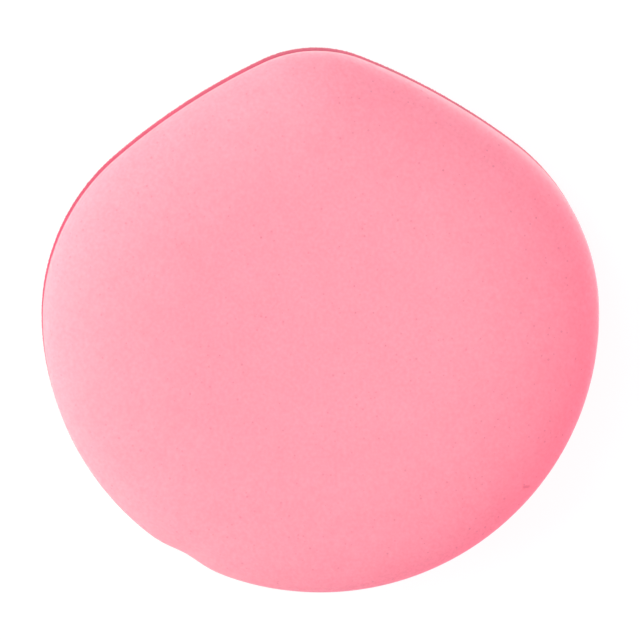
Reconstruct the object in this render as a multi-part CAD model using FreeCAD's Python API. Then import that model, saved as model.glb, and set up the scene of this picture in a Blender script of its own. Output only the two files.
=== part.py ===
"""A two-sided makeup sponge of the flat puff kind, with a blunt tip and a finger pocket.

Two laminated soft halves share one outline. The front half is a fine-pored foam face formed over a soft
core. The back half is a plush cover formed round a second core, which is hollowed for the fingers. A
horseshoe of bonding film joins the halves and leaves the pocket open at the wide end.
Millimetres. The sponge lies on its back: the face looks up (+Z) and the tip points along +Y.
"""

import FreeCAD
import Part
import math
import os
from FreeCAD import Vector

# Outline, seen from the face: a round body, two shoulders, two slack flanks and a blunt tip, in tangent arcs.
body_radius = 40.0
shoulder_radius = 30.3
flank_radius = 94.2
tip_radius = 17.9
tip_shortfall = 1.9  # how far the tip stops short of the body circle
even_rim = 14.0  # width of the rim where layers keep an even distance from the outline

# Front half, upwards from the pocket roof.
front_height = 10.4  # crown above the lining
front_belly_height = 2.2  # widest line above the lining
front_edge_roll = 20.0  # width over which the face falls away to its widest line
face_thickness = 1.6

# Back half, from the plane it rests on up to its lining.
back_height = 8.5
back_belly_drop = 2.4  # widest line below the lining
back_edge_roll = 6.0  # width of the rounded back edge
cover_thickness = 1.4

# Layers between the halves.
lining_thickness = 0.4
film_thickness = 0.6
rim_pinch = 0.9  # how far both halves are drawn in where they meet
lining_setback = 0.2  # further draw-in of the linings' cut edges

# Finger pocket, a round-ended hollow in the back half, open at the wide end.
side_bond = 19.0  # bonded width left on each side of the pocket, at the widest line
tip_bond = 31.5  # bonded length left between the pocket and the tip
pocket_depth = 5.2
pocket_roll = 11.0  # width over which the floor curves up to each side
pocket_lip_angle = 60.0  # degrees that the sides have turned up by where they reach the film

# Bands that the rounded forms are made of.
face_bands = 6
front_core_bands = 3
cover_bands = 6
back_core_bands = 3
pinch_bands = 2
core_pinch_bands = 1
pocket_bands = 4

overrun = 5.0

# Heights of the layers.
back_lining_base = back_height
film_base = back_lining_base + lining_thickness
front_lining_base = film_base + film_thickness
front_base = front_lining_base + lining_thickness
crown_height = front_base + front_height

# The overall box is centred on the origin, so the body circle sits a little above it.
body_centre = Vector(0, tip_shortfall / 2, 0)
wide_end = body_centre.y - body_radius
tip_end = body_centre.y + body_radius - tip_shortfall

# The pocket runs from outside the wide end to the centre of its round end.
pocket_half_width = body_radius - side_bond
pocket_start = wide_end - overrun
pocket_end = tip_end - tip_bond - pocket_half_width


def along(angle):
    """Unit direction in plan at an angle in degrees from +X."""
    return Vector(math.cos(math.radians(angle)), math.sin(math.radians(angle)), 0)


def bearing(direction):
    """Angle in degrees of a direction in plan, from 0 up to 360."""
    return math.degrees(math.atan2(direction.y, direction.x)) % 360


def mirrored(point):
    return Vector(-point.x, point.y, point.z)


def meeting_point(centre_a, reach_a, centre_b, reach_b):
    """Left-hand point at given distances from two centres, going from the first to the second."""
    gap = centre_b - centre_a
    span = gap.Length
    forward = (reach_a ** 2 - reach_b ** 2 + span ** 2) / (2 * span)
    sideways = math.sqrt(reach_a ** 2 - forward ** 2)
    direction = gap / span
    return centre_a + direction * forward + Vector(-direction.y, direction.x, 0) * sideways


def outline_arcs():
    """The outline's arcs anticlockwise from the wide end, as centre, radius, first and last angle."""
    shoulder = body_centre + Vector(body_radius - shoulder_radius, 0, 0)
    tip = Vector(0, tip_end - tip_radius, 0)
    flank = meeting_point(shoulder, flank_radius - shoulder_radius, tip, flank_radius - tip_radius)
    flank_start = bearing(shoulder - flank)
    tip_start = bearing(tip - flank)
    right_side = [
        (body_centre, body_radius, -90, 0),
        (shoulder, shoulder_radius, 0, flank_start),
        (flank, flank_radius, flank_start, tip_start),
    ]
    tip_arc = [(tip, tip_radius, tip_start, 180 - tip_start)]
    left_side = [
        (mirrored(centre), radius, 180 - last, 180 - first)
        for centre, radius, first, last in reversed(right_side)
    ]
    return right_side + tip_arc + left_side


def outline(height, inset):
    """Closed outline at a height, drawn in evenly near the rim and towards the middle further in."""
    rim_share = min(inset / even_rim, 1)
    middle_share = rim_share ** 2 * (3 - 2 * rim_share)
    pull_share = middle_share * inset / body_radius
    even_inset = (1 - middle_share) * inset
    edges = []
    for centre, radius, first, last in outline_arcs():
        middle = centre + (body_centre - centre) * pull_share + Vector(0, 0, height)
        reach = radius * (1 - pull_share) - even_inset
        points = [middle + along(angle) * reach for angle in (first, (first + last) / 2, last)]
        edges.append(Part.Arc(*points).toShape())
    return Part.Wire(edges)


def plate(base, thickness, inset):
    """Flat sheet with the sponge's outline."""
    return Part.Face(outline(base, inset)).extrude(Vector(0, 0, thickness))


def rim_sections(base, belly, inset, bands):
    """Outlines of an edge that turns out from its base to just short of its widest line."""
    sections = []
    for band in range(bands):
        turn = math.radians(90 * band / bands)
        height = belly + (base - belly) * math.cos(turn)
        sections.append(outline(height, inset + rim_pinch * (1 - math.sin(turn))))
    return sections


def roll_sections(belly, crown, inset, edge_roll, bands):
    """Outlines of an edge that rolls over from its widest line to a flat."""
    sections = []
    for band in range(bands + 1):
        turn = math.radians(90 * band / bands)
        height = belly + (crown - belly) * math.sin(turn)
        sections.append(outline(height, inset + edge_roll * (1 - math.cos(turn))))
    return sections


def front_form(inset, bands, under_bands):
    """Outer form of the front half, or of its core when drawn in by the face's thickness."""
    belly = front_base + front_belly_height
    under = rim_sections(front_base, belly, inset, under_bands)
    over = roll_sections(belly, crown_height - inset, inset, front_edge_roll - inset, bands)
    return Part.makeLoft(under + over, True, True)


def back_form(inset, bands, under_bands):
    """Outer form of the back half, or of its core when drawn in by the cover's thickness."""
    belly = back_height - back_belly_drop
    under = rim_sections(back_height, belly, inset, under_bands)
    over = roll_sections(belly, inset, inset, back_edge_roll - inset, bands)
    return Part.makeLoft(under + over, True, True)


def pocket_outline(height, growth):
    """Closed plan of the pocket at a height, a straight run with a round end, grown evenly on its sides."""
    reach = pocket_half_width + growth
    middle = Vector(0, pocket_end, height)
    right_end = middle + along(0) * reach
    crest = middle + along(90) * reach
    left_end = middle + along(180) * reach
    back_to_mouth = Vector(0, pocket_start - pocket_end, 0)
    return Part.Wire([
        Part.LineSegment(right_end + back_to_mouth, right_end).toShape(),
        Part.Arc(right_end, middle + along(45) * reach, crest).toShape(),
        Part.Arc(crest, middle + along(135) * reach, left_end).toShape(),
        Part.LineSegment(left_end, left_end + back_to_mouth).toShape(),
        Part.LineSegment(left_end + back_to_mouth, right_end + back_to_mouth).toShape(),
    ])


def finger_hollow(growth):
    """Round-ended trough for the fingers, or the space of its lining when grown by the lining's thickness."""
    floor = film_base - pocket_depth - growth
    lip = math.radians(pocket_lip_angle)
    sections = []
    for band in range(pocket_bands + 1):
        turn = lip * band / pocket_bands
        rise_share = (1 - math.cos(turn)) / (1 - math.cos(lip))
        spread_share = math.sin(turn) / math.sin(lip)
        height = floor + (film_base - floor) * rise_share
        sections.append(pocket_outline(height, growth - pocket_roll * (1 - spread_share)))
    sections.append(pocket_outline(film_base + overrun, growth))
    return Part.makeLoft(sections, True, True)


def pocket_plan(base, thickness):
    """The pocket's outline in plan, open at the wide end, as a cutter."""
    return Part.Face(pocket_outline(base, 0)).extrude(Vector(0, 0, thickness))


def face_sheet():
    return front_form(0, face_bands, pinch_bands).cut(front_core())


def front_core():
    return front_form(face_thickness, front_core_bands, core_pinch_bands)


def front_lining():
    return plate(front_lining_base, lining_thickness, rim_pinch + lining_setback)


def bond_film():
    film = plate(film_base, film_thickness, rim_pinch)
    return film.cut(pocket_plan(film_base - overrun, film_thickness + 2 * overrun))


def back_lining():
    setback = rim_pinch + lining_setback
    flat = plate(back_lining_base, lining_thickness, setback)
    room = plate(0, back_lining_base, setback)
    dish = finger_hollow(lining_thickness).common(room)
    return flat.fuse(dish).cut(finger_hollow(0)).removeSplitter()


def uncut_back_core():
    return back_form(cover_thickness, back_core_bands, core_pinch_bands)


def back_core():
    return uncut_back_core().cut(finger_hollow(lining_thickness))


def back_cover():
    cover = back_form(0, cover_bands, pinch_bands).cut(uncut_back_core())
    return cover.cut(finger_hollow(lining_thickness))


nodes = {
    "face_sheet": face_sheet,
    "front_core": front_core,
    "front_lining": front_lining,
    "bond_film": bond_film,
    "back_lining": back_lining,
    "back_core": back_core,
    "back_cover": back_cover,
}

os.makedirs("parts", exist_ok=True)
for name, build in nodes.items():
    shape = build()
    solid = shape.Solids[0]
    box = solid.BoundBox
    print(
        f"{name}: {len(shape.Solids)} solid, valid {shape.isValid()}, {solid.Volume:.1f} mm3,",
        f"{box.XLength:.2f} x {box.YLength:.2f} x {box.ZLength:.2f} mm, from z {box.ZMin:.2f}",
    )
    solid.exportStep(f"parts/{name}.step")
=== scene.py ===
import math
import bpy
from mathutils import Matrix, Vector


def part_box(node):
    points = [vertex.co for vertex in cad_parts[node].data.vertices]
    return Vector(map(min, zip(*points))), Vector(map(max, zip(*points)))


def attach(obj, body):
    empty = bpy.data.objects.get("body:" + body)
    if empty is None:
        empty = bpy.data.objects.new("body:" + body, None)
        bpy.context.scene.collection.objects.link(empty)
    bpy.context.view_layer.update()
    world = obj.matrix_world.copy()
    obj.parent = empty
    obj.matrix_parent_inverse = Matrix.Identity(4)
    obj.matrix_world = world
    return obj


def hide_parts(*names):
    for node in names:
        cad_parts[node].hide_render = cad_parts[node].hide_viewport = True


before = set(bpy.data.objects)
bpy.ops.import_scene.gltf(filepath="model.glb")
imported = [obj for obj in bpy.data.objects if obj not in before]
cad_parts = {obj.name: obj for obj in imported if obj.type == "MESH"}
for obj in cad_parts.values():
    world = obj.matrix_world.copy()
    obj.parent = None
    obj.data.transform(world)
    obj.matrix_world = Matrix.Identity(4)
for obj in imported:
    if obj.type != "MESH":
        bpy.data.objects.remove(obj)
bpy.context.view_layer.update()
scene = bpy.context.scene
print("frame loaded:", ", ".join(sorted(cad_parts)))

# all lengths are metres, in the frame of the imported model
mm = 0.001


# small helpers for node trees

def put(tree, kind, inputs=None, **settings):
    made = tree.nodes.new(kind)
    for name, value in settings.items():
        setattr(made, name, value)
    for key, value in (inputs or {}).items():
        if isinstance(value, bpy.types.NodeSocket):
            tree.links.new(value, made.inputs[key])
        else:
            made.inputs[key].default_value = value
    return made


def calc(tree, operation, *values, clamp=False):
    inputs = dict(enumerate(values))
    return put(tree, "ShaderNodeMath", inputs, operation=operation, use_clamp=clamp).outputs[0]


def vec(tree, operation, *values):
    inputs = dict(enumerate(values))
    if operation == "SCALE":
        inputs["Scale"] = inputs.pop(1)
    made = put(tree, "ShaderNodeVectorMath", inputs, operation=operation)
    return made.outputs["Value" if operation in ("LENGTH", "DISTANCE") else "Vector"]


def axes(tree, vector):
    return put(tree, "ShaderNodeSeparateXYZ", {0: vector}).outputs


def joinAxes(tree, x, y, z):
    return put(tree, "ShaderNodeCombineXYZ", {0: x, 1: y, 2: z}).outputs[0]


def spread(tree, value, fromLow, fromHigh, toLow, toHigh, smooth=False):
    kind = "SMOOTHSTEP" if smooth else "LINEAR"
    inputs = {"Value": value, "From Min": fromLow, "From Max": fromHigh, "To Min": toLow, "To Max": toHigh}
    return put(tree, "ShaderNodeMapRange", inputs, interpolation_type=kind).outputs["Result"]


def newTree(name, kind, inputs, outputs):
    tree = bpy.data.node_groups.new(name, kind)
    for direction, sockets in (("INPUT", inputs), ("OUTPUT", outputs)):
        for label, (socketType, value) in sockets.items():
            fullType = "NodeSocket" + socketType
            socket = tree.interface.new_socket(label, in_out=direction, socket_type=fullType)
            if value is not None:
                socket.default_value = value
    return tree, tree.nodes.new("NodeGroupInput").outputs, tree.nodes.new("NodeGroupOutput").inputs


def grow(name, tree, values):
    # runs a geometry tree and keeps its result as a plain mesh
    seedling = bpy.data.objects.new(name + "Seed", bpy.data.meshes.new(name + "Seed"))
    scene.collection.objects.link(seedling)
    modifier = seedling.modifiers.new("tree", "NODES")
    modifier.node_group = tree
    for label, value in values.items():
        modifier[tree.interface.items_tree[label].identifier] = value
    depsgraph = bpy.context.evaluated_depsgraph_get()
    mesh = bpy.data.meshes.new_from_object(seedling.evaluated_get(depsgraph), depsgraph=depsgraph)
    seedling.modifiers.remove(modifier)
    bpy.data.objects.remove(seedling)
    mesh.name = name
    piece = bpy.data.objects.new(name, mesh)
    scene.collection.objects.link(piece)
    print(name, "has", len(mesh.polygons), "faces")
    return piece


# outline of the sponge, shared by every layer

sponge = {
    "shoulderRadius": 30.3 * mm,
    "flankRadius": 94.2 * mm,
    "tipRadius": 17.9 * mm,
    "rimPinch": 0.9 * mm,  # how far both halves turn in where they meet
    "evenRim": 14.0 * mm,  # width of the rim where layers keep an even distance from the outline
    "around": 480,  # points round the outline
    "longestSpan": math.pi / 4,  # turn of one span of the outline's spline
    "spanPoints": 64,
    "weld": 0.002 * mm,  # points closer than this become one
    "dentAngle": 238.6,  # small soft dent through the whole edge, degrees from +X
    "dentWidth": 3.2 * mm,
    "dentDepth": 0.55 * mm,
}
low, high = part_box("face_sheet")
bodyRadius = (high.x - low.x) / 2
tipEnd = high.y
wideEnd = low.y
bodyMiddle = Vector((0, wideEnd + bodyRadius, 0))
frontBase, crownHeight = low.z, high.z
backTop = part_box("back_cover")[1].z


def along(angle):
    return Vector((math.cos(angle), math.sin(angle), 0))


def bearing(direction):
    return math.atan2(direction.y, direction.x) % math.tau


def outlineArcs():
    # centre, radius, first and last angle of the arcs, anticlockwise from the wide end
    shoulderRadius, flankRadius = sponge["shoulderRadius"], sponge["flankRadius"]
    tipRadius = sponge["tipRadius"]
    shoulder = bodyMiddle + Vector((bodyRadius - shoulderRadius, 0, 0))
    tip = Vector((0, tipEnd - tipRadius, 0))
    gap = tip - shoulder
    reachA, reachB = flankRadius - shoulderRadius, flankRadius - tipRadius
    forward = (reachA ** 2 - reachB ** 2 + gap.length_squared) / (2 * gap.length)
    sideways = Vector((-gap.y, gap.x, 0)).normalized() * math.sqrt(reachA ** 2 - forward ** 2)
    flank = shoulder + gap.normalized() * forward + sideways
    flankStart, tipStart = bearing(shoulder - flank), bearing(tip - flank)
    right = [
        (bodyMiddle, bodyRadius, -math.pi / 2, 0),
        (shoulder, shoulderRadius, 0, flankStart),
        (flank, flankRadius, flankStart, tipStart),
    ]
    left = []
    for centre, radius, first, last in reversed(right):
        left.append((Vector((-centre.x, centre.y, 0)), radius, math.pi - last, math.pi - first))
    return right + [(tip, tipRadius, tipStart, math.pi - tipStart)] + left


def outlineCurve():
    # the arcs as one closed Bezier spline
    spans = []
    for centre, radius, first, last in outlineArcs():
        count = math.ceil((last - first) / sponge["longestSpan"])
        turn = (last - first) / count
        reach = radius * 4 / 3 * math.tan(turn / 4)
        for step in range(count):
            angle = first + turn * step
            spans.append((centre + along(angle) * radius, along(angle + math.pi / 2), reach))
    curve = bpy.data.curves.new("spongeOutline", "CURVE")
    curve.dimensions = "3D"
    curve.resolution_u = sponge["spanPoints"]
    spline = curve.splines.new("BEZIER")
    spline.bezier_points.add(len(spans) - 1)
    for index, (point, (place, heading, reach)) in enumerate(zip(spline.bezier_points, spans)):
        point.co = place
        point.handle_right = place + heading * reach
        point.handle_left = place - heading * spans[index - 1][2]
    spline.use_cyclic_u = True
    made = bpy.data.objects.new("spongeOutline", curve)
    scene.collection.objects.link(made)
    return made


def profileCurve(name, pairs):
    # half section of a layer: inset from the outline, and height
    curve = bpy.data.curves.new(name, "CURVE")
    curve.dimensions = "3D"
    spline = curve.splines.new("POLY")
    spline.points.add(len(pairs) - 1)
    for point, (inset, height) in zip(spline.points, pairs):
        point.co = (inset, 0, height, 1)
    made = bpy.data.objects.new(name, curve)
    scene.collection.objects.link(made)
    return made


# finger pocket, pressed into everything in the back half

pocket = {
    "sideBond": 19.0 * mm,  # bonded width beside the pocket
    "tipBond": 31.5 * mm,  # bonded length between the pocket and the tip
    "roll": 11.0 * mm,  # width over which its floor curves up
    "lip": 0.3,  # how softly its sides turn over at the top
    "depth": 5.2 * mm,
    "stillHeight": 1.4 * mm,  # what lies lower than this is not pressed down
}


def pocketTree():
    # how far a point of the back half is pressed down by the pocket
    tree, given, result = newTree("pocketPress", "GeometryNodeTree", {
        "Place": ("Vector", None),
        "Half Width": ("Float", 0.0),
        "End": ("Float", 0.0),
        "Roll": ("Float", 1.0),
        "Lip": ("Float", pocket["lip"]),
        "Depth": ("Float", 0.0),
        "Still Height": ("Float", 0.0),
        "Top": ("Float", 1.0),
    }, {"Drop": ("Float", None)})
    x, y, z = axes(tree, given["Place"])
    beyond = calc(tree, "MAXIMUM", calc(tree, "SUBTRACT", y, given["End"]), 0.0)
    off = vec(tree, "LENGTH", joinAxes(tree, x, beyond, 0.0))
    inside = calc(tree, "SUBTRACT", given["Half Width"], off)
    share = calc(tree, "DIVIDE", inside, given["Roll"], clamp=True)
    # the floor is flat in the middle, steepens to its sides and turns over softly at the lip
    squared = calc(tree, "MULTIPLY", share, share)
    fuller = calc(tree, "MULTIPLY", squared, calc(tree, "ADD", given["Lip"], 1.0))
    eased = calc(tree, "DIVIDE", fuller, calc(tree, "ADD", share, given["Lip"]))
    rest = calc(tree, "SUBTRACT", 1.0, eased)
    bowl = calc(tree, "SUBTRACT", 1.0, calc(tree, "POWER", rest, 2.0))
    deep = calc(tree, "MULTIPLY", bowl, given["Depth"])
    pressed = spread(tree, z, given["Still Height"], given["Top"], 0.0, 1.0)
    tree.links.new(calc(tree, "MULTIPLY", deep, pressed), result["Drop"])
    return tree


def softLayerTree(pocketPress):
    # sweeps a half section round the outline, evenly inset near the rim and drawn to the middle further in
    tree, given, result = newTree("softLayer", "GeometryNodeTree", {
        "Outline": ("Object", None),
        "Profile": ("Object", None),
        "Around": ("Int", 240),
        "Middle": ("Vector", None),
        "Reach": ("Float", 1.0),
        "Even Inset": ("Float", 1.0),
        "Weld": ("Float", 0.0),
        "Pocket Half Width": ("Float", 0.0),
        "Pocket End": ("Float", 0.0),
        "Pocket Roll": ("Float", 1.0),
        "Pocket Depth": ("Float", 0.0),
        "Still Height": ("Float", 0.0),
        "Top": ("Float", 1.0),
        "Unevenness": ("Float", 0.0),
        "Wave Scale": ("Float", 100.0),
        "Seed": ("Float", 0.0),
        "Dent Place": ("Vector", None),
        "Dent Width": ("Float", 1.0),
        "Dent Depth": ("Float", 0.0),
        "Material": ("Material", None),
    }, {"Geometry": ("Geometry", None)})
    outline = put(tree, "GeometryNodeObjectInfo", {"Object": given["Outline"]}).outputs["Geometry"]
    profile = put(tree, "GeometryNodeObjectInfo", {"Object": given["Profile"]}).outputs["Geometry"]
    sizes = put(tree, "GeometryNodeAttributeDomainSize", {0: profile}, component="CURVE").outputs
    rings = sizes["Point Count"]

    # a flat grid of one unit: X runs round the outline, Y from ring to ring
    grid = put(tree, "GeometryNodeMeshGrid", {
        "Size X": 1.0,
        "Size Y": 1.0,
        "Vertices X": calc(tree, "ADD", given["Around"], 1.0),
        "Vertices Y": rings,
    }).outputs["Mesh"]
    gridPlace = axes(tree, put(tree, "GeometryNodeInputPosition").outputs[0])
    station = calc(tree, "ADD", gridPlace["X"], 0.5)
    ringShare = calc(tree, "ADD", gridPlace["Y"], 0.5)
    ring = calc(tree, "ROUND", calc(tree, "MULTIPLY", ringShare, calc(tree, "SUBTRACT", rings, 1.0)))
    ringPlace = put(tree, "GeometryNodeSampleIndex", data_type="FLOAT_VECTOR", domain="POINT")
    tree.links.new(profile, ringPlace.inputs["Geometry"])
    tree.links.new(put(tree, "GeometryNodeInputPosition").outputs[0], ringPlace.inputs["Value"])
    tree.links.new(ring, ringPlace.inputs["Index"])
    ringAxes = axes(tree, ringPlace.outputs["Value"])
    inset, height = ringAxes["X"], ringAxes["Z"]

    # place in plan, between an even inset and a pull towards the middle
    walkInputs = {"Curves": outline, "Factor": station}
    walk = put(tree, "GeometryNodeSampleCurve", walkInputs, mode="FACTOR", use_all_curves=True)
    edge = walk.outputs["Position"]
    inward = vec(tree, "NORMALIZE", vec(tree, "CROSS_PRODUCT", (0, 0, 1), walk.outputs["Tangent"]))
    evenInset = calc(tree, "MINIMUM", inset, given["Even Inset"])
    even = vec(tree, "ADD", edge, vec(tree, "SCALE", inward, evenInset))
    drawn = calc(tree, "SUBTRACT", 1.0, calc(tree, "DIVIDE", inset, given["Reach"]))
    towards = vec(tree, "SCALE", vec(tree, "SUBTRACT", edge, given["Middle"]), drawn)
    scaled = vec(tree, "ADD", given["Middle"], towards)
    blend = spread(tree, inset, 0.0, given["Even Inset"], 0.0, 1.0, smooth=True)
    plan = put(tree, "ShaderNodeMix", {"Factor": blend, 4: even, 5: scaled}, data_type="VECTOR")
    flat = axes(tree, plan.outputs[1])

    # height, lowered by the pocket
    press = put(tree, "GeometryNodeGroup", node_tree=pocketPress)
    for label, source in {
        "Place": joinAxes(tree, flat["X"], flat["Y"], height),
        "Half Width": given["Pocket Half Width"],
        "End": given["Pocket End"],
        "Roll": given["Pocket Roll"],
        "Depth": given["Pocket Depth"],
        "Still Height": given["Still Height"],
        "Top": given["Top"],
    }.items():
        tree.links.new(source, press.inputs[label])
    lowered = calc(tree, "SUBTRACT", height, press.outputs["Drop"])
    place = joinAxes(tree, flat["X"], flat["Y"], lowered)
    swept = put(tree, "GeometryNodeSetPosition", {"Geometry": grid, "Position": place}).outputs[0]
    weldInputs = {"Geometry": swept, "Distance": given["Weld"]}
    welded = put(tree, "GeometryNodeMergeByDistance", weldInputs).outputs[0]

    # slight waves all over, and the dent
    waveInputs = {"W": given["Seed"], "Scale": given["Wave Scale"]}
    wave = put(tree, "ShaderNodeTexNoise", waveInputs, noise_dimensions="4D").outputs[0]
    push = calc(tree, "MULTIPLY", calc(tree, "SUBTRACT", wave, 0.5), given["Unevenness"])
    waves = vec(tree, "SCALE", put(tree, "GeometryNodeInputNormal").outputs[0], push)
    above = vec(tree, "MULTIPLY", put(tree, "GeometryNodeInputPosition").outputs[0], (1, 1, 0))
    off = calc(tree, "DIVIDE", vec(tree, "DISTANCE", above, given["Dent Place"]), given["Dent Width"])
    fall = calc(tree, "EXPONENT", calc(tree, "MULTIPLY", calc(tree, "MULTIPLY", off, off), -1.0))
    inwards = vec(tree, "NORMALIZE", vec(tree, "SUBTRACT", given["Middle"], given["Dent Place"]))
    dent = vec(tree, "SCALE", inwards, calc(tree, "MULTIPLY", fall, given["Dent Depth"]))
    waveAndDent = {"Geometry": welded, "Offset": vec(tree, "ADD", waves, dent)}
    waved = put(tree, "GeometryNodeSetPosition", waveAndDent).outputs[0]
    smooth = put(tree, "GeometryNodeSetShadeSmooth", {"Geometry": waved}).outputs[0]
    real = put(tree, "GeometryNodeRealizeInstances", {"Geometry": smooth}).outputs[0]
    coat = {"Geometry": real, "Material": given["Material"]}
    tree.links.new(put(tree, "GeometryNodeSetMaterial", coat).outputs[0], result["Geometry"])
    return tree


outline = outlineCurve()
softLayer = softLayerTree(pocketTree())
layerValues = {
    "Outline": outline,
    "Around": sponge["around"],
    "Middle": bodyMiddle,
    "Reach": bodyRadius,
    "Even Inset": sponge["evenRim"],
    "Weld": sponge["weld"],
    "Dent Place": bodyMiddle + along(math.radians(sponge["dentAngle"])) * bodyRadius,
    "Dent Width": sponge["dentWidth"],
    "Dent Depth": sponge["dentDepth"],
}
pocketHalf = bodyRadius - pocket["sideBond"]
pocketValues = {
    "Pocket Half Width": pocketHalf,
    "Pocket End": tipEnd - pocket["tipBond"] - pocketHalf,
    "Pocket Roll": pocket["roll"],
    "Pocket Depth": pocket["depth"],
    "Still Height": pocket["stillHeight"],
    "Top": backTop,
}


def softLayerPiece(name, pairs, material, values):
    profile = profileCurve(name + "Profile", pairs)
    piece = grow(name, softLayer, {**layerValues, "Profile": profile, "Material": material, **values})
    bpy.data.objects.remove(profile)
    return piece


def quarterTurn(startInset, startHeight, endInset, endHeight, steps, startsFlat):
    # quarter of an ellipse between two points of a half section, flat or upright where it starts
    pairs = []
    for step in range(1, steps + 1):
        turn = math.pi / 2 * step / steps
        inwards, upwards = math.sin(turn), 1 - math.cos(turn)
        if not startsFlat:
            inwards, upwards = 1 - math.cos(turn), math.sin(turn)
        inset = startInset + (endInset - startInset) * inwards
        pairs.append((inset, startHeight + (endHeight - startHeight) * upwards))
    return pairs


def run(startInset, endInset, height, steps):
    # level stretch of a half section
    return [(startInset + (endInset - startInset) * step / steps, height) for step in range(1, steps + 1)]


# materials

noiseLow, noiseHigh = 0.3, 0.7  # most of a noise lies between these


def newMaterial(name, sockets):
    material = bpy.data.materials.new(name)
    material.use_nodes = True
    shader = material.node_tree.nodes["Principled BSDF"]
    for label, value in sockets.items():
        shader.inputs[label].default_value = value
    return material, material.node_tree, shader


def objectPlace(tree):
    return put(tree, "ShaderNodeTexCoord").outputs["Object"]


def mixColour(tree, factor, first, second):
    inputs = {0: factor, 6: first, 7: second}
    for key in (6, 7):
        if isinstance(inputs[key], tuple):
            inputs[key] = (*inputs[key], 1)
    return put(tree, "ShaderNodeMix", inputs, data_type="RGBA").outputs[2]


def shades(colour, step):
    # a darker and a lighter shade of a colour
    return tuple(c * (1 - step) for c in colour), tuple(min(c * (1 + step), 1) for c in colour)


def bumped(tree, shader, height, depth, strength):
    bump = put(tree, "ShaderNodeBump", {"Height": height, "Distance": depth, "Strength": strength})
    tree.links.new(bump.outputs[0], shader.inputs["Normal"])


def noise(tree, place, size, detail=2.0, roughness=0.5):
    inputs = {"Vector": place, "Scale": 1 / size, "Detail": detail, "Roughness": roughness}
    return put(tree, "ShaderNodeTexNoise", inputs).outputs[0]


def openCells(tree, place, spacing, radius, share):
    # a share of scattered round cells, cut open where the surface meets them
    smallest, largest, clearShare = 0.5, 1.2, 0.4
    scale = calc(tree, "DIVIDE", 1.0, spacing)
    found = put(tree, "ShaderNodeTexVoronoi", {"Vector": place, "Scale": scale}).outputs
    chances = put(tree, "ShaderNodeSeparateColor", {0: found["Color"]}).outputs
    reach = calc(tree, "MULTIPLY", radius, spread(tree, chances[1], 0.0, 1.0, smallest, largest))
    away = calc(tree, "MULTIPLY", found["Distance"], spacing)
    hole = spread(tree, away, calc(tree, "MULTIPLY", reach, clearShare), reach, 1.0, 0.0, smooth=True)
    return calc(tree, "MULTIPLY", hole, calc(tree, "LESS_THAN", chances[0], share))


def foamPoresGroup():
    # fine cells all over, faint specks, and here and there an open pore
    grainDetail, grainLow, grainHigh, cellRelief = 0.6, 0.25, 0.75, 0.5
    tree, given, result = newTree("foamPores", "ShaderNodeTree", {
        "Place": ("Vector", None),
        "Cell Size": ("Float", 0.4 * mm),
        "Pore Spacing": ("Float", 2.2 * mm),
        "Pore Radius": ("Float", 0.2 * mm),
        "Pore Share": ("Float", 0.3),
        "Speck Spacing": ("Float", 1.0 * mm),
        "Speck Radius": ("Float", 0.22 * mm),
        "Speck Share": ("Float", 0.5),
    }, {
        "Mottle": ("Float", None),
        "Speck": ("Float", None),
        "Pore": ("Float", None),
        "Height": ("Float", None),
    })
    place = given["Place"]
    scale = calc(tree, "DIVIDE", 1.0, given["Cell Size"])
    grainInputs = {"Vector": place, "Scale": scale, "Detail": grainDetail}
    grain = put(tree, "ShaderNodeTexNoise", grainInputs).outputs[0]
    cells = put(tree, "ShaderNodeTexVoronoi", {"Vector": place, "Scale": scale}).outputs["Distance"]
    pore = openCells(tree, place, given["Pore Spacing"], given["Pore Radius"], given["Pore Share"])
    speck = openCells(tree, place, given["Speck Spacing"], given["Speck Radius"], given["Speck Share"])
    rough = calc(tree, "MULTIPLY_ADD", cells, cellRelief, grain)
    tree.links.new(spread(tree, grain, grainLow, grainHigh, 0.0, 1.0), result["Mottle"])
    tree.links.new(speck, result["Speck"])
    tree.links.new(pore, result["Pore"])
    tree.links.new(calc(tree, "SUBTRACT", rough, pore), result["Height"])
    return tree


foamPores = foamPoresGroup()

faceFoam = {
    "colour": (0.97, 0.345, 0.435),
    # dark colour for the random specks, and for the painted shade in the open pores and the crease
    "speckAndShadeColour": (0.5, 0.13, 0.2),
    "scatter": (1.0, 0.7, 0.8),  # how far each colour travels, as a share of scatterReach
    "scatterReach": 2.5 * mm,
    "cellSize": 0.45 * mm,
    "mottle": 0.095,
    "patchSize": 5.0 * mm,
    "patchShare": 0.5,  # weight of the large patches beside the fine mottle
    "roughness": (0.72, 0.88),
    # how far the open pores are darkened: painted shade, while the pores themselves are pressed in by the
    # bump
    "poreShadeStrength": 0.42,
    "speckStrength": 0.3,
    "relief": 0.05 * mm,
    "bump": 0.5,
    "creasePlace": (28.6 * mm, -24.5 * mm),  # small crease on the lower right of the roll, pressed in by the bump and darkened with painted shade
    "creaseSize": (0.8 * mm, 0.3 * mm),
    "creaseEdge": (0.3, 1.1),  # where it fades, as shares of its size
    "creaseTurn": 2.0,  # degrees
    # how far the crease is darkened: painted shade
    "creaseShadeStrength": 0.4,
}


def creaseMask(tree, place):
    # small soft oval, one straight down through the pad
    x, y = faceFoam["creasePlace"]
    turned = put(tree, "ShaderNodeMapping", {
        "Vector": place,
        "Location": (x, y, 0),
        "Rotation": (0, 0, math.radians(faceFoam["creaseTurn"])),
        "Scale": (*faceFoam["creaseSize"], 1.0),
    }, vector_type="TEXTURE").outputs[0]
    flat = axes(tree, turned)
    away = vec(tree, "LENGTH", joinAxes(tree, flat["X"], flat["Y"], 0.0))
    return spread(tree, away, *faceFoam["creaseEdge"], 1.0, 0.0, smooth=True)


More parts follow.
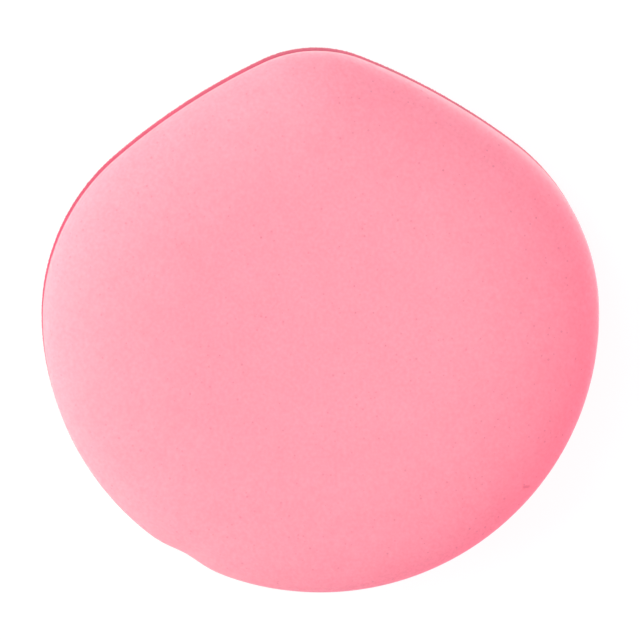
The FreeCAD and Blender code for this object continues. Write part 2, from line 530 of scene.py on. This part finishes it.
def faceFoamMaterial():
    material, tree, shader = newMaterial("faceFoam", {
        "Subsurface Weight": 1.0,
        "Subsurface Radius": faceFoam["scatter"],
        "Subsurface Scale": faceFoam["scatterReach"],
        "Sheen Weight": 0.1,
        "Sheen Roughness": 0.5,
        "Specular IOR Level": 0.2,
    })
    place = objectPlace(tree)
    inputs = {"Place": place, "Cell Size": faceFoam["cellSize"]}
    foam = put(tree, "ShaderNodeGroup", inputs, node_tree=foamPores).outputs
    patchShare = faceFoam["patchShare"]
    patches = noise(tree, place, faceFoam["patchSize"])
    both = calc(tree, "MULTIPLY_ADD", patches, patchShare, foam["Mottle"])
    mottle = spread(tree, both, 0.0, 1.0 + patchShare, 0.0, 1.0)
    colour = mixColour(tree, mottle, *shades(faceFoam["colour"], faceFoam["mottle"]))
    crease = creaseMask(tree, place)
    # specks darken the colour at random; the pores and the crease are darkened with painted shade
    for mask, strength in (
        (foam["Speck"], faceFoam["speckStrength"]),
        (foam["Pore"], faceFoam["poreShadeStrength"]),
        (crease, faceFoam["creaseShadeStrength"]),
    ):
        colour = mixColour(tree, calc(tree, "MULTIPLY", mask, strength), colour, faceFoam["speckAndShadeColour"])
    tree.links.new(colour, shader.inputs["Base Color"])
    roughness = spread(tree, foam["Mottle"], 0.0, 1.0, *faceFoam["roughness"])
    tree.links.new(roughness, shader.inputs["Roughness"])
    height = calc(tree, "SUBTRACT", foam["Height"], crease)
    bumped(tree, shader, height, faceFoam["relief"], faceFoam["bump"])
    return material


coreFoam = {
    "colour": (0.93, 0.62, 0.66),
    "cellSize": 0.7 * mm,
    "poreSpacing": 1.5 * mm,
    "poreRadius": 0.3 * mm,
    "shade": 0.06,
    "roughness": (0.8, 0.92),
    "relief": 0.15 * mm,
    "bump": 0.6,
}


def coreFoamMaterial():
    material, tree, shader = newMaterial("coreFoam", {"Specular IOR Level": 0.2})
    foam = put(tree, "ShaderNodeGroup", {
        "Place": objectPlace(tree),
        "Cell Size": coreFoam["cellSize"],
        "Pore Spacing": coreFoam["poreSpacing"],
        "Pore Radius": coreFoam["poreRadius"],
    }, node_tree=foamPores).outputs
    colour = mixColour(tree, foam["Mottle"], *shades(coreFoam["colour"], coreFoam["shade"]))
    tree.links.new(colour, shader.inputs["Base Color"])
    roughness = spread(tree, foam["Mottle"], 0.0, 1.0, *coreFoam["roughness"])
    tree.links.new(roughness, shader.inputs["Roughness"])
    bumped(tree, shader, foam["Height"], coreFoam["relief"], coreFoam["bump"])
    return material


plush = {
    "colour": (0.6, 0.05, 0.135),
    "napSize": 0.35 * mm,
    "napDetail": 3.0,
    "napRoughness": 0.6,
    "patchSize": 7.0 * mm,
    "napShare": 0.6,  # weight of the nap in the skin's shade, the rest is large patches
    "shade": 0.2,
    "skinRoughness": (0.8, 0.95),
    "relief": 0.2 * mm,
    "bump": 0.7,
    "tuftShare": 0.5,  # the same weight for the tufts' own shades
    "tuftShade": 0.2,
    "tuftRoughness": (0.75, 0.95),
}


def plushSkinMaterial():
    material, tree, shader = newMaterial("plushSkin", {
        "Sheen Weight": 0.15,
        "Sheen Roughness": 0.6,
        "Specular IOR Level": 0.15,
    })
    place = objectPlace(tree)
    nap = noise(tree, place, plush["napSize"], plush["napDetail"], plush["napRoughness"])
    patches = calc(tree, "MULTIPLY", noise(tree, place, plush["patchSize"]), 1 - plush["napShare"])
    mix = calc(tree, "MULTIPLY_ADD", nap, plush["napShare"], patches)
    tone = spread(tree, mix, noiseLow, noiseHigh, 0.0, 1.0)
    colour = mixColour(tree, tone, *shades(plush["colour"], plush["shade"]))
    tree.links.new(colour, shader.inputs["Base Color"])
    roughness = spread(tree, nap, noiseLow, noiseHigh, *plush["skinRoughness"])
    tree.links.new(roughness, shader.inputs["Roughness"])
    bumped(tree, shader, nap, plush["relief"], plush["bump"])
    return material


def plushPileMaterial():
    # every tuft has its own shade, kept in the attribute nap
    material, tree, shader = newMaterial("plushPile", {
        "Sheen Weight": 0.3,
        "Sheen Roughness": 0.5,
        "Specular IOR Level": 0.15,
    })
    nap = put(tree, "ShaderNodeAttribute", attribute_name="nap").outputs["Fac"]
    clouds = noise(tree, objectPlace(tree), plush["patchSize"])
    patches = calc(tree, "MULTIPLY", clouds, 1 - plush["tuftShare"])
    mix = calc(tree, "MULTIPLY_ADD", nap, plush["tuftShare"], patches)
    colour = mixColour(tree, mix, *shades(plush["colour"], plush["tuftShade"]))
    tree.links.new(colour, shader.inputs["Base Color"])
    roughness = spread(tree, nap, 0.0, 1.0, *plush["tuftRoughness"])
    tree.links.new(roughness, shader.inputs["Roughness"])
    return material


knit = {
    "colour": (0.82, 0.2, 0.33),
    "stitchWidth": 0.9 * mm,
    "stitchHeight": 0.75 * mm,
    "slant": 2.2,  # how far a loop leans from the side to the middle of its column, in radians of a course
    "dip": 0.45,  # height between two loops, as a share of a loop's
    "fuzzSize": 0.3 * mm,
    "fuzzShare": 0.3,
    "shade": 0.25,
    "roughness": (0.78, 0.95),
    "relief": 0.2 * mm,
    "bump": 0.7,
}


def knitMaterial():
    # columns of small loops that lean to both sides of each column
    material, tree, shader = newMaterial("pocketKnit", {
        "Sheen Weight": 0.2,
        "Sheen Roughness": 0.5,
        "Specular IOR Level": 0.15,
    })
    place = objectPlace(tree)
    flat = axes(tree, place)
    column = calc(tree, "MULTIPLY", flat["X"], math.pi / knit["stitchWidth"])
    ridge = calc(tree, "ABSOLUTE", calc(tree, "SINE", column))
    lean = calc(tree, "MULTIPLY", ridge, knit["slant"])
    course = calc(tree, "MULTIPLY_ADD", flat["Y"], math.tau / knit["stitchHeight"], lean)
    loop = spread(tree, calc(tree, "COSINE", course), -1.0, 1.0, 0.0, 1.0)
    height = calc(tree, "MULTIPLY", ridge, spread(tree, loop, 0.0, 1.0, knit["dip"], 1.0))
    fuzz = noise(tree, place, knit["fuzzSize"])
    stitches = calc(tree, "MULTIPLY", height, 1 - knit["fuzzShare"])
    tone = calc(tree, "MULTIPLY_ADD", fuzz, knit["fuzzShare"], stitches)
    colour = mixColour(tree, tone, *shades(knit["colour"], knit["shade"]))
    tree.links.new(colour, shader.inputs["Base Color"])
    roughness = spread(tree, fuzz, noiseLow, noiseHigh, *knit["roughness"])
    tree.links.new(roughness, shader.inputs["Roughness"])
    bumped(tree, shader, height, knit["relief"], knit["bump"])
    return material


bondFilm = {
    "colour": (0.72, 0.14, 0.26),
    "cloudSize": 2.0 * mm,
    "cloudDetail": 3.0,
    "shade": 0.08,
    "roughness": (0.4, 0.6),
    "relief": 0.05 * mm,
    "bump": 0.3,
}


def filmMaterial():
    material, tree, shader = newMaterial("bondFilm", {"Specular IOR Level": 0.4})
    cloud = noise(tree, objectPlace(tree), bondFilm["cloudSize"], bondFilm["cloudDetail"])
    colour = mixColour(tree, cloud, *shades(bondFilm["colour"], bondFilm["shade"]))
    tree.links.new(colour, shader.inputs["Base Color"])
    roughness = spread(tree, cloud, noiseLow, noiseHigh, *bondFilm["roughness"])
    tree.links.new(roughness, shader.inputs["Roughness"])
    bumped(tree, shader, cloud, bondFilm["relief"], bondFilm["bump"])
    return material


# front half

frontPad = {
    "bellyRise": 2.2 * mm,  # widest line above the lining
    "edgeRoll": 22.0 * mm,  # width over which the face falls away to its widest line
    "edgePower": 2.4,  # how gently the roll runs out into the flat middle
    "underRings": 14,
    "turnRings": 10,
    "rollRings": 80,
    "crownRings": 24,
    "unevenness": 0.06 * mm,
    "seed": 3.0,
}


def makeFrontPad():
    pinch, belly = sponge["rimPinch"], frontBase + frontPad["bellyRise"]
    pairs = [(bodyRadius, frontBase)]
    pairs += run(bodyRadius, pinch, frontBase, frontPad["underRings"])
    pairs += quarterTurn(pinch, frontBase, 0, belly, frontPad["turnRings"], True)
    for step in range(1, frontPad["rollRings"] + 1):
        inwards = 1 - math.cos(math.pi / 2 * step / frontPad["rollRings"])
        rise = math.sqrt(1 - (1 - inwards) ** frontPad["edgePower"])
        pairs.append((frontPad["edgeRoll"] * inwards, belly + (crownHeight - belly) * rise))
    pairs += run(frontPad["edgeRoll"], bodyRadius, crownHeight, frontPad["crownRings"])
    values = {"Unevenness": frontPad["unevenness"], "Seed": frontPad["seed"]}
    piece = softLayerPiece("frontPad", pairs, faceFoamMaterial(), values)
    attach(piece, "root")
    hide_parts("face_sheet", "front_core")


# back half

backHalf = {
    "bellyDrop": 2.4 * mm,  # widest line below its top
    "edgeRoll": 6.0 * mm,
    "coverThickness": 1.4 * mm,
    "pileLength": 0.6 * mm,
    "baseRings": 40,
    "rollRings": 24,
    "turnRings": 10,
    "edgeRings": 3,
    "lidRings": 60,
}


def backPath(inset, base):
    # half section from the middle of the base round the edge to the top
    pinch, belly = sponge["rimPinch"] + inset, backTop - backHalf["bellyDrop"]
    roll = backHalf["edgeRoll"]
    return (
        [(bodyRadius, base)]
        + run(bodyRadius, roll, base, backHalf["baseRings"])
        + quarterTurn(roll, base, inset, belly, backHalf["rollRings"], True)
        + quarterTurn(inset, belly, pinch, backTop, backHalf["turnRings"], False)
    )


def makeBackHalf():
    thickness = backHalf["coverThickness"]
    outerRim = sponge["rimPinch"]
    innerRim = outerRim + thickness
    outer = backPath(0, backHalf["pileLength"])
    inner = backPath(thickness, thickness)
    topEdge = run(outerRim, innerRim, backTop, backHalf["edgeRings"])
    coverPairs = outer + topEdge + inner[-2::-1]
    cover = softLayerPiece("backCover", coverPairs, plushSkinMaterial(), pocketValues)
    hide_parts("back_cover")
    lid = run(innerRim, bodyRadius, backTop, backHalf["lidRings"])
    body = softLayerPiece("backCore", inner + lid, coreFoamMaterial(), pocketValues)
    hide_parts("back_core")
    for piece in (cover, body):
        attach(piece, "root")
    return cover


# pile on the back

backPile = {
    "count": 9.0e6,  # tufts per square metre
    "length": 0.58 * mm,
    "shortest": 0.6,  # share of the length that a tuft has at least
    "root": 0.075 * mm,
    "sides": 3,
    "lean": 0.75,  # how far tufts lean away from upright
    "topFacing": -0.1,  # skin that faces further down than this carries pile
    "topShare": 0.2,  # share of the length that is left there
    "fullFacing": -0.75,  # and the pile has its full length from here on
    "seed": 11,
}


def pileTree():
    # small leaning cones on the underside of the cover
    tree, given, result = newTree("backPile", "GeometryNodeTree", {
        "Skin": ("Object", None),
        "Count": ("Float", 1.0),
        "Length": ("Float", 1.0),
        "Shortest": ("Float", 1.0),
        "Root": ("Float", 1.0),
        "Sides": ("Int", 3),
        "Lean": ("Float", 0.0),
        "Top Facing": ("Float", 0.0),
        "Top Share": ("Float", 1.0),
        "Full Facing": ("Float", -1.0),
        "Highest Place": ("Float", 1.0),
        "Seed": ("Int", 0),
        "Material": ("Material", None),
    }, {"Geometry": ("Geometry", None)})
    seed = given["Seed"]
    skin = put(tree, "GeometryNodeObjectInfo", {"Object": given["Skin"]}).outputs["Geometry"]
    facing = axes(tree, put(tree, "GeometryNodeInputNormal").outputs[0])["Z"]
    height = axes(tree, put(tree, "GeometryNodeInputPosition").outputs[0])["Z"]
    low = calc(tree, "LESS_THAN", height, given["Highest Place"])
    down = calc(tree, "LESS_THAN", facing, given["Top Facing"])
    spots = put(tree, "GeometryNodeDistributePointsOnFaces", {
        "Mesh": skin,
        "Selection": calc(tree, "MULTIPLY", low, down),
        "Density": given["Count"],
        "Seed": seed,
    }).outputs
    strayInputs = {0: (-1, -1, -1), 1: (1, 1, 1), "Seed": seed}
    stray = put(tree, "FunctionNodeRandomValue", strayInputs, data_type="FLOAT_VECTOR").outputs[0]
    direction = vec(tree, "ADD", spots["Normal"], vec(tree, "SCALE", stray, given["Lean"]))
    turn = put(tree, "FunctionNodeAlignRotationToVector", {"Vector": direction}, axis="Z").outputs[0]
    tuft = put(tree, "GeometryNodeMeshCone", {
        "Vertices": given["Sides"],
        "Radius Top": 0.0,
        "Radius Bottom": given["Root"],
        "Depth": given["Length"],
    }).outputs["Mesh"]
    lengths = {2: given["Shortest"], 3: 1.0, "Seed": seed}
    uneven = put(tree, "FunctionNodeRandomValue", lengths, data_type="FLOAT").outputs[1]
    spotFacing = axes(tree, spots["Normal"])["Z"]
    share = spread(tree, spotFacing, given["Full Facing"], given["Top Facing"], 1.0, given["Top Share"])
    tufts = put(tree, "GeometryNodeInstanceOnPoints", {
        "Points": spots["Points"],
        "Instance": tuft,
        "Rotation": turn,
        "Scale": joinAxes(tree, 1.0, 1.0, calc(tree, "MULTIPLY", uneven, share)),
    }).outputs[0]
    tones = {2: 0.0, 3: 1.0, "Seed": seed}
    shade = put(tree, "FunctionNodeRandomValue", tones, data_type="FLOAT").outputs[1]
    mark = {"Geometry": tufts, "Name": "nap", "Value": shade}
    marked = put(tree, "GeometryNodeStoreNamedAttribute", mark, data_type="FLOAT", domain="INSTANCE")
    real = put(tree, "GeometryNodeRealizeInstances", {"Geometry": marked.outputs[0]}).outputs[0]
    coat = {"Geometry": real, "Material": given["Material"]}
    tree.links.new(put(tree, "GeometryNodeSetMaterial", coat).outputs[0], result["Geometry"])
    return tree


def makePile(cover):
    piece = grow("backPile", pileTree(), {
        "Skin": cover,
        "Count": backPile["count"],
        "Length": backPile["length"],
        "Shortest": backPile["shortest"],
        "Root": backPile["root"],
        "Sides": backPile["sides"],
        "Lean": backPile["lean"],
        "Top Facing": backPile["topFacing"],
        "Top Share": backPile["topShare"],
        "Full Facing": backPile["fullFacing"],
        "Highest Place": backTop - backHalf["bellyDrop"],
        "Seed": backPile["seed"],
        "Material": plushPileMaterial(),
    })
    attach(piece, "root")


# linings

lining = {
    "thickness": 0.4 * mm,
    "setback": 0.2 * mm,  # from the pinched rim
    "rings": 90,
    "frontLining": {"flat": (77.8 * mm, 75.9 * mm), "area": 4483e-6, "on": ["frontPad"]},
    "backLining": {"flat": (77.8 * mm, 80.0 * mm), "area": 4673e-6, "on": ["backCore", "backCover"]},
}


def makeLinings():
    material = knitMaterial()
    edge = sponge["rimPinch"] + lining["setback"]
    rings = lining["rings"]
    for name, node, base, values in (
        ("frontLining", "front_lining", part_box("front_lining")[0].z, {}),
        ("backLining", "back_lining", backTop, pocketValues),
    ):
        top = base + lining["thickness"]
        under = [(bodyRadius, base)] + run(bodyRadius, edge, base, rings)
        over = [(edge, top)] + run(edge, bodyRadius, top, rings)
        piece = softLayerPiece(name, under + over, material, values)
        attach(piece, "root")
        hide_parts(node)


makeFrontPad()
makePile(makeBackHalf())
makeLinings()
bpy.data.objects.remove(outline)
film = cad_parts["bond_film"]
film.data.materials.clear()
film.data.materials.append(filmMaterial())
print("sponge ready")

# floor, light and camera

studio = {
    "floorSize": 6.0,
    "floorSeen": 0.9,  # glow of the floor where the camera sees it
    "floorShadow": 0.14,  # what the camera sees of the light and shadow on it
    "sky": (0.617, 0.617, 0.675),
    "tableGlow": (0.9, 0.42, 0.5),  # soft light from below, in place of what a floor throws back
    "horizonBlur": 0.05,
    "lampDistance": 1.5,
    "lampSize": 1.0,
    "lamps": {  # degrees from straight above, degrees from +X, watts, colour
        "key": (40, 135, 9.5, (1.0, 1.0, 0.88)),
        "side": (65, 180, 16.5, (1.0, 1.0, 0.77)),
        "rosyFill": (80, 338, 12.0, (1.0, 0.06, 0.12)),
        "tableBounce": (132, 42, 21.0, (0.7, 1.0, 0.78)),
    },
    "cameraDistance": 3.5,
    "cameraSight": 20.0,  # how far the camera sees
    "sensorWidth": 36.0,  # in the camera's own unit, millimetres
    "frameWidth": 91.95 * mm,  # what the picture spans at the widest line of the face
    "aim": (-0.17 * mm, 0.27 * mm),
    "lean": 5.5,  # degrees that the camera leans from straight above
    "leanTowards": 111.0,  # degrees from +X
    "roll": 1.85,
}


def aloft(zenith, azimuth):
    # direction from the sponge, in degrees from straight above and from +X
    tilt, turn = math.radians(zenith), math.radians(azimuth)
    return Vector((math.sin(tilt) * math.cos(turn), math.sin(tilt) * math.sin(turn), math.cos(tilt)))


def seenByCamera(tree):
    # straight, mirrored or through glass
    ray = put(tree, "ShaderNodeLightPath").outputs
    mirrored = calc(tree, "ADD", ray["Is Glossy Ray"], ray["Is Transmission Ray"])
    return calc(tree, "ADD", ray["Is Camera Ray"], mirrored, clamp=True)


def floorMaterial():
    # white to the camera with a faint shadow, and clear to all other rays and from below
    shade, glow = studio["floorShadow"], studio["floorSeen"]
    material, tree, shader = newMaterial("floorWhite", {
        "Base Color": (shade, shade, shade, 1),
        "Emission Color": (glow, glow, glow, 1),
        "Emission Strength": 1.0,
        "Roughness": 0.9,
    })
    above = calc(tree, "SUBTRACT", 1.0, put(tree, "ShaderNodeNewGeometry").outputs["Backfacing"])
    shown = calc(tree, "MULTIPLY", seenByCamera(tree), above)
    clear = put(tree, "ShaderNodeBsdfTransparent").outputs[0]
    mix = put(tree, "ShaderNodeMixShader", {0: shown, 1: clear, 2: shader.outputs[0]}).outputs[0]
    tree.links.new(mix, tree.nodes["Material Output"].inputs["Surface"])
    return material


def makeFloor():
    mesh = bpy.data.meshes.new("floor")
    half = studio["floorSize"] / 2
    corners = [(-half, -half, 0), (half, -half, 0), (half, half, 0), (-half, half, 0)]
    mesh.from_pydata(corners, [], [(0, 1, 2, 3)])
    mesh.materials.append(floorMaterial())
    floor = bpy.data.objects.new("floor", mesh)
    scene.collection.objects.link(floor)


def addLamp(name, zenith, azimuth, power, colour):
    lamp = bpy.data.lights.new(name, "AREA")
    lamp.shape = "DISK"
    lamp.size = studio["lampSize"]
    lamp.energy = power
    lamp.color = colour
    lampObject = bpy.data.objects.new(name, lamp)
    scene.collection.objects.link(lampObject)
    direction = aloft(zenith, azimuth)
    lampObject.location = direction * studio["lampDistance"]
    lampObject.rotation_euler = direction.to_track_quat("Z", "Y").to_euler()
    lampObject.visible_camera = False


def makeLight():
    world = bpy.data.worlds.new("studio")
    scene.world = world
    world.use_nodes = True
    tree = world.node_tree
    up = axes(tree, put(tree, "ShaderNodeTexCoord").outputs["Generated"])["Z"]
    overhead = spread(tree, up, -studio["horizonBlur"], studio["horizonBlur"], 0.0, 1.0)
    glow = mixColour(tree, overhead, studio["tableGlow"], studio["sky"])
    shown = mixColour(tree, seenByCamera(tree), glow, (1.0, 1.0, 1.0))
    tree.links.new(shown, tree.nodes["Background"].inputs["Color"])
    for name, values in studio["lamps"].items():
        addLamp(name, *values)


def makeCamera():
    camera = bpy.data.objects.new("camera", bpy.data.cameras.new("camera"))
    scene.collection.objects.link(camera)
    back = aloft(studio["lean"], studio["leanTowards"])
    right = Vector((0, 1, 0)).cross(back).normalized()
    upright = back.cross(right)
    turned = Matrix.Rotation(math.radians(-studio["roll"]), 3, back)
    facing = turned @ Matrix((right, upright, back)).transposed()
    aim = Vector((*studio["aim"], frontBase + frontPad["bellyRise"]))
    camera.matrix_world = Matrix.Translation(aim + back * studio["cameraDistance"]) @ facing.to_4x4()
    camera.data.sensor_width = studio["sensorWidth"]
    camera.data.lens = studio["sensorWidth"] * studio["cameraDistance"] / studio["frameWidth"]
    camera.data.clip_end = studio["cameraSight"]
    scene.camera = camera


makeFloor()
makeLight()
makeCamera()
scene.view_settings.view_transform = "Standard"
print("studio ready")
